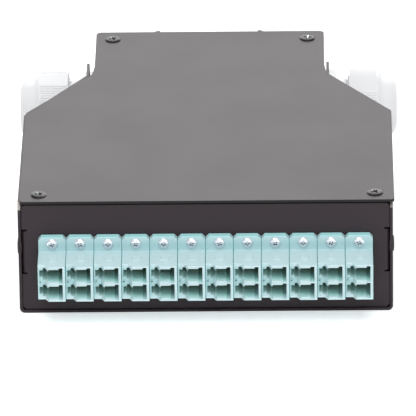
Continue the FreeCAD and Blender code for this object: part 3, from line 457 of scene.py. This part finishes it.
def folded_tray():
    """The tray; the slanting cut at the front of each wall is marked for a painted glint, a pale tone that
    stands for light caught by that face.
    """
    shape = merged_copy("base_tray")
    ease_edges(shape, SHEET_EASE)
    low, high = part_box("base_tray")
    mark = shape.faces.layers.float.new("painted_glint_edge")
    for face in shape.faces:
        middle = face.calc_center_median()
        in_corner = middle.y < low.y + WALL_CORNER * MM and middle.z > high.z - WALL_CORNER * MM
        slanting = face.normal.y < -SLANT and face.normal.z > SLANT
        glint_strength = LEFT_GLINT if middle.x < 0 else RIGHT_GLINT
        face[mark] = glint_strength if in_corner and slanting else 0
    piece("base_tray_finished", shape, "black_paint", ["base_tray"])


def flat_lid():
    """The lid, its cut edges marked for a painted shade, a darker tone."""
    shape = merged_copy("lid")
    ease_edges(shape, LID_EASE)
    mark = shape.faces.layers.float.new("shaded_cut_edge")
    for face in shape.faces:
        face[mark] = 1 if abs(face.normal.z) < CUT_EDGE_RISE else 0
    piece("lid_finished", shape, "black_paint", ["lid"])


def front_panel():
    """The panel, its rim drawn out until the seams beside it are as fine as in the photo."""
    low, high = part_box("front_panel")
    shape = merged_copy("front_panel")
    for vert in shape.verts:
        place = vert.co
        if abs(place.x) > high.x - PANEL_RIM * MM:
            place.x += math.copysign(PANEL_SIDE_STEP * MM, place.x)
        if place.z > high.z - PANEL_RIM * MM:
            place.z += PANEL_TOP_STEP * MM
        if place.z < low.z + PANEL_RIM * MM:
            place.z -= PANEL_FOOT_STEP * MM
    ease_edges(shape, SHEET_EASE)
    piece("front_panel_finished", shape, "black_paint", ["front_panel"])


# Screws

# Heads as (radius, level) points from the middle of the top to the rim of the seat
LOW_HEAD = ((0, 0.52), (1.6, 0.5), (2.4, 0.44), (2.66, 0.36), (2.79, 0.22), (2.8, 0.06), (2.74, 0))
ROUND_HEAD = ((0, 0.66), (0.8, 0.63), (1.3, 0.56), (1.6, 0.46), (1.82, 0.3), (1.93, 0.15), (1.95, 0.05),
              (1.92, 0))
LOW_SCREW = {"head": LOW_HEAD, "shank": 1.45, "length": 6, "recess": 2, "depth": 0.85, "least_rise": 0.35}
SMALL_SCREW = {"head": ROUND_HEAD, "shank": 0.95, "length": 5.6, "recess": 1.2, "depth": 0.55}
HEAD_STEPS = 40
HEAD_CREASE = 40
# Shares of a recess's length: how wide a slot is, and how much of both is left at its floor
SLOT_WIDTH = 0.26
SLOT_TAPER = 0.45
# What faces up more than this is a recess's floor; the two margins keep the head's own faces out
FLOOR_RISE = 0.9
FLOOR_MARGIN = 0.1
TOP_MARGIN = 0.05
# Height of the heads in the adapters' solid screws
SMALL_HEAD_HEIGHT = 1.1
TURN_PER_ADAPTER = 37
TURN_PER_ROW = 20
# From the lid's middle to each screw on the neck
LID_SCREW_NECK = 35.4
# Front left, front right, rear left, rear right; the first screw isn't driven in quite straight
LID_SCREW_TURNS = (25, 35, 30, 80)
LID_SCREW_LEANS = (4, 0, 0, 0)


def turned(degrees, axis):
    """A turn about one of the axes."""
    return Matrix.Rotation(math.radians(degrees), 4, axis)


def widest(head):
    """The largest radius of a head, in metres."""
    return max(radius for radius, level in head) * MM


def cross_cutters(recess, depth, place):
    """Two crossed blocks that narrow downwards, for a head whose top is at the place."""
    cutters = []
    for along, across in ((recess, recess * SLOT_WIDTH), (recess * SLOT_WIDTH, recess)):
        cutter = bmesh.new()
        corner = Vector((along, across, depth)) * MM
        block = add_cube(cutter, -corner, corner)
        floor = [vert for vert in block if vert.co.z < 0]
        bmesh.ops.scale(cutter, vec=(SLOT_TAPER, SLOT_TAPER, 1), verts=floor)
        bmesh.ops.transform(cutter, matrix=place, verts=cutter.verts)
        cutters.append(cutter)
    return cutters


def cross_screw(head, shank, length, recess, depth, least_rise=-1):
    """A screw with a cross recess, along +Z, its head's seat at zero.

    The recess's walls are marked, apart from those that face up less than the least rise.
    """
    height = head[0][1]
    shape = spun([*head, (shank, 0), (shank, -length), (0, -length)], HEAD_STEPS)
    shape = carved(shape, cross_cutters(recess, depth, Matrix.Translation((0, 0, height * MM))))
    mark = shape.faces.layers.float.new("recess")
    for face in shape.faces:
        middle = face.calc_center_median()
        below_top = (height - depth - FLOOR_MARGIN) * MM < middle.z < (height - TOP_MARGIN) * MM
        inside = below_top and middle.xy.length < recess * MM
        face[mark] = 1 if inside and least_rise < face.normal.z < FLOOR_RISE else 0
    return shape


def set_of_screws(name, node, slot, screw, places):
    """One screw shape at several places, each a matrix."""
    template = bpy.data.meshes.new(name + "_one")
    screw.to_mesh(template)
    screw.free()
    shape = bmesh.new()
    for place in places:
        first = len(shape.verts)
        shape.from_mesh(template)
        shape.verts.ensure_lookup_table()
        bmesh.ops.transform(shape, matrix=place, verts=shape.verts[first:])
    bpy.data.meshes.remove(template)
    piece(name, shape, slot, [node], crease=HEAD_CREASE)


def adapter_screws():
    """Two small screws in each adapter's flange, no two turned alike."""
    low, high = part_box("adapter_screws")
    radius = widest(ROUND_HEAD)
    flange_face = low.y + SMALL_HEAD_HEIGHT * MM
    places = []
    for number, node in enumerate(ADAPTERS):
        for row, level in enumerate((low.z + radius, high.z - radius)):
            spot = Matrix.Translation((middle_of(node).x, flange_face, level))
            turn = turned(TURN_PER_ADAPTER * number + TURN_PER_ROW * row, "Z")
            places.append(spot @ turned(90, "X") @ turn)
    set_of_screws("adapter_screw_heads", "adapter_screws", "plated_screw", cross_screw(**SMALL_SCREW), places)


def lid_screws():
    """Four low screws through the lid, two at its front and two on the neck."""
    low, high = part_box("lid_screws")
    lid_low, lid_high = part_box("lid")
    shift = (lid_low.x + lid_high.x) / 2
    neck = LID_SCREW_NECK * MM
    radius = widest(LOW_HEAD)
    front, rear = low.y + radius, high.y - radius
    spots = ((low.x + radius, front), (high.x - radius, front), (shift - neck, rear), (shift + neck, rear))
    places = []
    for (x, y), turn, lean in zip(spots, LID_SCREW_TURNS, LID_SCREW_LEANS):
        places.append(Matrix.Translation((x, y, lid_high.z)) @ turned(lean, "Y") @ turned(turn, "Z"))
    set_of_screws("lid_screw_heads", "lid_screws", "black_screw", cross_screw(**LOW_SCREW), places)


def panel_screws():
    """A low screw through each side wall into the panel."""
    middle = middle_of("panel_screws")
    low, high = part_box("base_tray")
    places = []
    for x, angle in ((high.x, 90), (low.x, -90)):
        places.append(Matrix.Translation((x, middle.y, middle.z)) @ turned(angle, "Y"))
    set_of_screws("panel_screw_heads", "panel_screws", "black_screw", cross_screw(**LOW_SCREW), places)


# Adapters

ADAPTER_EASE = 0.14
# The mouldings all but touch each other and hang a little low
MOULDING_SWELL = (1.012, 1, 1.014)
# The vent hole: from the left side and back from the front
VENT_RADIUS = 0.26
VENT_SEGMENTS = 20
VENT_DEPTH = 3
VENT_INSET = 0.75
VENT_BACK = 2
# The mark on the top: its bend's radius, its legs, its bead, and its place off the middle, back and up
MARK_BEND = 1.5
MARK_LEG = 1.9
MARK_BEAD = 0.2
MARK_SEGMENTS = 12
MARK_BEND_STEPS = 14
MARK_ASIDE = 0.35
MARK_BACK = 6.5
MARK_LEVEL = 6.52


def grow_face(shape, face, step):
    """Draws a face out by one step; the new end face."""
    grown = bmesh.ops.extrude_face_region(shape, geom=[face])["geom"]
    corners = [item for item in grown if isinstance(item, bmesh.types.BMVert)]
    bmesh.ops.translate(shape, vec=step, verts=corners)
    return next(item for item in grown if isinstance(item, bmesh.types.BMFace))


def moulding_mark(middle):
    """A raised bead in the shape of a U, its open end to the back."""
    bend, leg = MARK_BEND * MM, MARK_LEG * MM
    shape = bmesh.new()
    bmesh.ops.create_circle(shape, cap_ends=True, segments=MARK_SEGMENTS, radius=MARK_BEAD * MM)
    start = Matrix.Translation((middle.x - bend, middle.y + leg, middle.z)) @ turned(90, "X")
    bmesh.ops.transform(shape, matrix=start, verts=shape.verts)
    shape.faces.ensure_lookup_table()
    end = grow_face(shape, shape.faces[0], (0, -leg, 0))
    bent = bmesh.ops.spin(shape, geom=[end], cent=middle, axis=(0, 0, 1), angle=math.pi,
                          steps=MARK_BEND_STEPS)
    end = next(item for item in bent["geom_last"] if isinstance(item, bmesh.types.BMFace))
    grow_face(shape, end, (0, leg, 0))
    inner = [face for face in shape.faces if all(len(edge.link_faces) > 2 for edge in face.edges)]
    bmesh.ops.delete(shape, geom=inner, context="FACES_ONLY")
    bmesh.ops.recalc_face_normals(shape, faces=shape.faces)
    return shape


def adapter_moulding():
    """The first adapter with eased edges, a vent hole beside the latch slots and a mark on its top."""
    low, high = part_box(ADAPTERS[0])
    middle = (low + high) / 2
    shape = merged_copy(ADAPTERS[0])
    ease_edges(shape, ADAPTER_EASE)

    drill = bmesh.new()
    bmesh.ops.create_cone(drill, cap_ends=True, segments=VENT_SEGMENTS, radius1=VENT_RADIUS * MM,
                          radius2=VENT_RADIUS * MM, depth=VENT_DEPTH * MM)
    vent = Matrix.Translation((low.x + VENT_INSET * MM, low.y + VENT_BACK * MM, middle.z)) @ turned(90, "X")
    bmesh.ops.transform(drill, matrix=vent, verts=drill.verts)
    shape = carved(shape, [drill])

    mark_place = (middle.x + MARK_ASIDE * MM, low.y + MARK_BACK * MM, middle.z + MARK_LEVEL * MM)
    add_shape(shape, moulding_mark(Vector(mark_place)))
    about_top = Matrix.Translation((-middle.x, 0, -high.z))
    bmesh.ops.scale(shape, vec=MOULDING_SWELL, space=about_top, verts=shape.verts)
    return shape


def adapters():
    """The one moulding, copied along the row."""
    first_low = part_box(ADAPTERS[0])[0]
    moulding = adapter_moulding()
    for node in ADAPTERS:
        shape = moulding.copy()
        bmesh.ops.translate(shape, vec=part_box(node)[0] - first_low, verts=shape.verts)
        piece(node + "_moulded", shape, "aqua_plastic", [node])
    moulding.free()


# Glands

BODY_EASE = 0.3
CAP_EASE = 0.5
CAP_LEAST_ANGLE = 20
THREAD_PITCH = 1.5
THREAD_STEPS = 40
# The ridge's section over one pitch as (along, radius) points, and its ends back from the body's end
THREAD_RIDGE = ((0, 9.8), (0.25, 9.9), (0.62, 10.26), (0.88, 10.26), (1.25, 9.9), (1.5, 9.8))
THREAD_START = 15.2
THREAD_END = 4.6
# Grip ribs stand in zones round each cap, and the two caps are turned differently
CAP_ZONES = 6
FIRST_ZONE = {"left": -41.5, "right": 57}
RIBS = 7
RIB_PITCH = 4.1
RIB_LENGTH = 9.5
RIB_RADIUS = 0.27
RIB_SEGMENTS = 10
RIB_END_ROUNDING = 0.6
# Middle of a rib from the cap's inner end, and its level off the axis
RIB_MIDDLE = 5.5
RIB_LEVEL = 13.33


def gland_thread(start, end, axis, sign):
    """A screw thread as one ridge wound round the tube."""
    turns = (end - start) / (THREAD_PITCH * MM)
    steps = int(turns * THREAD_STEPS)
    shape = bmesh.new()
    points = []
    for along, radius in THREAD_RIDGE:
        points.append(shape.verts.new((sign * (start + along * MM), axis.y, axis.z + radius * MM)))
    bmesh.ops.spin(shape, geom=[shape.faces.new(points)], cent=axis, axis=(sign, 0, 0),
                   dvec=(sign * (end - start) / steps, 0, 0), angle=math.tau * turns, steps=steps)
    bmesh.ops.recalc_face_normals(shape, faces=shape.faces)
    return shape


def grip_rib():
    """A round rib along X, half of it to be sunk in the cap, with rounded ends."""
    radius = RIB_RADIUS * MM
    shape = bmesh.new()
    bmesh.ops.create_cone(shape, cap_ends=True, segments=RIB_SEGMENTS, radius1=radius, radius2=radius,
                          depth=RIB_LENGTH * MM)
    ends = [edge for edge in shape.edges if abs(edge.verts[0].co.z - edge.verts[1].co.z) < FINE_JOIN]
    bmesh.ops.bevel(shape, geom=ends, offset=RIB_END_ROUNDING * radius, offset_type="OFFSET", affect="EDGES",
                    segments=2, profile=0.5, material=-1)
    bmesh.ops.transform(shape, matrix=turned(90, "Y"), verts=shape.verts)
    return shape


def gland_ribs(cap, start, axis, sign, first_zone):
    """Fine grip ribs on the round parts of the cap, between its flats."""
    facing = Matrix.Translation(axis) @ turned(0 if sign > 0 else 180, "Z")
    on_top = Matrix.Translation((start + RIB_MIDDLE * MM, 0, RIB_LEVEL * MM))
    for zone in range(CAP_ZONES):
        for number in range(RIBS):
            angle = first_zone + zone * 360 / CAP_ZONES + (number - (RIBS - 1) / 2) * RIB_PITCH
            rib = grip_rib()
            bmesh.ops.transform(rib, matrix=facing @ turned(angle, "X") @ on_top, verts=rib.verts)
            add_shape(cap, rib)


def glands():
    """The bodies with their threads and the caps with their ribs."""
    for side, sign in SIDES:
        low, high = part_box(f"{side}_gland_body")
        axis = Vector((0, (low.y + high.y) / 2, (low.z + high.z) / 2))
        cap_low, cap_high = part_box(f"{side}_gland_cap")
        cap_start = cap_low.x if sign > 0 else -cap_high.x
        body_end = high.x if sign > 0 else -low.x

        shape = merged_copy(f"{side}_gland_body")
        ease_edges(shape, BODY_EASE)
        add_shape(shape, gland_thread(body_end - THREAD_START * MM, body_end - THREAD_END * MM, axis, sign))
        piece(f"{side}_gland_threaded", shape, "pale_nylon", [f"{side}_gland_body"])

        shape = merged_copy(f"{side}_gland_cap")
        ease_edges(shape, CAP_EASE, CAP_LEAST_ANGLE)
        gland_ribs(shape, cap_start, axis, sign, FIRST_ZONE[side])
        piece(f"{side}_gland_ribbed_cap", shape, "pale_nylon", [f"{side}_gland_cap"], body=f"{side}_cap")


# Rail clip

CLIP_EASE = 0.25
CLIP_RECESS = 1.7
CLIP_RECESS_DEPTH = 1.3
# Lower screw, upper screw
CLIP_SCREW_TURNS = (15, 50)


def clip_mouldings():
    """The clip's plate and the latch that slides in it."""
    for node, body in (("din_clip", "box"), ("din_latch", "latch")):
        shape = merged_copy(node)
        ease_edges(shape, CLIP_EASE)
        piece(node + "_finished", shape, "black_nylon", [node], body)


def latch_spring():
    """The coil, on a mesh of its own; the real coil is pressed together as the latch is pulled."""
    coil = piece("latch_spring_coil", merged_copy("latch_spring"), "spring_steel", ["latch_spring"])
    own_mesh(coil)


def clip_screws():
    """The clip's screws with cross recesses, seen from behind."""
    low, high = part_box("din_clip_screws")
    radius = (high.x - low.x) / 2
    cutters = []
    for level, turn in zip((low.z + radius, high.z - radius), CLIP_SCREW_TURNS):
        spot = Matrix.Translation(((low.x + high.x) / 2, high.y, level))
        cutters += cross_cutters(CLIP_RECESS, CLIP_RECESS_DEPTH, spot @ turned(-90, "X") @ turned(turn, "Z"))
    shape = carved(merged_copy("din_clip_screws"), cutters)
    piece("din_clip_screw_heads", shape, "zinc_steel", ["din_clip_screws"], crease=HEAD_CREASE)


# Solids that keep their own mesh

def finish_solids():
    """Gives each solid that no piece replaces the finish that the record names."""
    slots = {entry["node"]: entry["material_slot"] for entry in frame["record"]["subparts"]}
    for node, solid in frame["nodes"].items():
        if not solid.hide_render:
            solid.data.materials.clear()
            solid.data.materials.append(FINISHES[slots[node]])


# Studio; its lengths are in metres

WHITE = (1, 1, 1, 1)
PAPER_WHITE = (0.95, 0.95, 0.95, 1)
PAPER_HALF_WIDTH = 4
PAPER_LEVEL = -0.0001
PAPER_ROUGHNESS = 0.9
# Strengths for the light on the object and for what the camera sees
WORLD_STRENGTHS = (0.4, 1)
PAPER_STRENGTHS = (0, 0.45)
# A lamp's watts for each unit of radiance and square metre
WATTS = 4


def area_light(name, place, target, width, height, radiance):
    """A soft panel of a given brightness, aimed at a point."""
    data = bpy.data.lights.new(name, "AREA")
    data.shape = "RECTANGLE"
    data.size = width
    data.size_y = height
    data.energy = radiance * width * height * WATTS
    lamp = bpy.data.objects.new(name, data)
    lamp.location = place
    lamp.rotation_mode = "QUATERNION"
    lamp.rotation_quaternion = (Vector(target) - Vector(place)).to_track_quat("-Z", "Y")
    bpy.context.scene.collection.objects.link(lamp)


def two_levels(tree, strengths):
    """The second strength for what the camera sees, straight or by way of metal and glass, else the first."""
    rays = tree.nodes.new("ShaderNodeLightPath")
    seen = rays.outputs["Is Camera Ray"]
    for name in ("Is Glossy Ray", "Is Transmission Ray"):
        seen = reckoned(tree, "MAXIMUM", seen, rays.outputs[name])
    return ramp(tree, seen, (0, 1), strengths)


def surroundings():
    """A white room, as bright as paper where the camera sees it."""
    scene = bpy.context.scene
    scene.view_settings.view_transform = "Standard"
    world = bpy.data.worlds.new("studio")
    scene.world = world
    world.use_nodes = True
    tree = world.node_tree
    tree.nodes["Background"].inputs["Color"].default_value = WHITE
    tree.links.new(two_levels(tree, WORLD_STRENGTHS), tree.nodes["Background"].inputs["Strength"])


def paper_floor():
    """White paper under the box, with the box's soft shadow on it."""
    shape = bmesh.new()
    bmesh.ops.create_grid(shape, x_segments=1, y_segments=1, size=PAPER_HALF_WIDTH)
    bmesh.ops.translate(shape, vec=(0, 0, PAPER_LEVEL), verts=shape.verts)
    floor = as_object(shape, "floor")
    paper = bpy.data.materials.new("white paper")
    paper.use_nodes = True
    tree = paper.node_tree
    sheet = tree.nodes["Principled BSDF"]
    sheet.inputs["Base Color"].default_value = PAPER_WHITE
    sheet.inputs["Roughness"].default_value = PAPER_ROUGHNESS
    sheet.inputs["Specular IOR Level"].default_value = 0
    sheet.inputs["Emission Color"].default_value = WHITE
    tree.links.new(two_levels(tree, PAPER_STRENGTHS), sheet.inputs["Emission Strength"])
    floor.data.materials.append(paper)


def lamps():
    """Three soft panels: above, in front and behind."""
    area_light("key", place=(-0.12, -0.9, 1.8), target=(0, 0, 0.02), width=1.6, height=1.2, radiance=3.5)
    area_light("front", place=(0.4, -1.9, 0.75), target=(0, 0, 0.02), width=2.0, height=0.9, radiance=1.15)
    area_light("rear", place=(0, 1.9, 0.95), target=(0, 0, 0.04), width=2.8, height=1.3, radiance=2.25)


# Camera; its distances are in metres and its lens in millimetres

VIEW_AZIMUTH = 0.80
VIEW_ELEVATION = 24.69
VIEW_ROLL = -0.76
VIEW_TARGET = (0, 0, 0.02)
VIEW_DISTANCE = 2.641
VIEW_RIGHT = 0.00015
VIEW_DOWN = 0.01291
VIEW_LENS = 639.6
VIEW_SENSOR = 36
VIEW_END = 20


def camera():
    """The photograph's view: a long lens from the front, well above the lid."""
    azimuth, elevation, roll = (math.radians(angle) for angle in (VIEW_AZIMUTH, VIEW_ELEVATION, VIEW_ROLL))
    back = Vector((math.sin(azimuth) * math.cos(elevation), -math.cos(azimuth) * math.cos(elevation),
                   math.sin(elevation)))
    level_right = Vector((0, 0, 1)).cross(back).normalized()
    level_up = back.cross(level_right)
    right = math.cos(roll) * level_right + math.sin(roll) * level_up
    up = math.cos(roll) * level_up - math.sin(roll) * level_right
    place = Vector(VIEW_TARGET) + right * VIEW_RIGHT - up * VIEW_DOWN + back * VIEW_DISTANCE
    facing = Matrix((right, up, back)).transposed().to_4x4()
    data = bpy.data.cameras.new("camera")
    data.sensor_width = VIEW_SENSOR
    data.lens = VIEW_LENS
    data.clip_end = VIEW_END
    made = bpy.data.objects.new("camera", data)
    made.matrix_world = Matrix.Translation(place) @ facing
    bpy.context.scene.collection.objects.link(made)
    bpy.context.scene.camera = made


folded_tray()
flat_lid()
front_panel()
adapter_screws()
lid_screws()
panel_screws()
adapters()
glands()
clip_mouldings()
latch_spring()
clip_screws()
finish_solids()
surroundings()
paper_floor()
lamps()
camera()
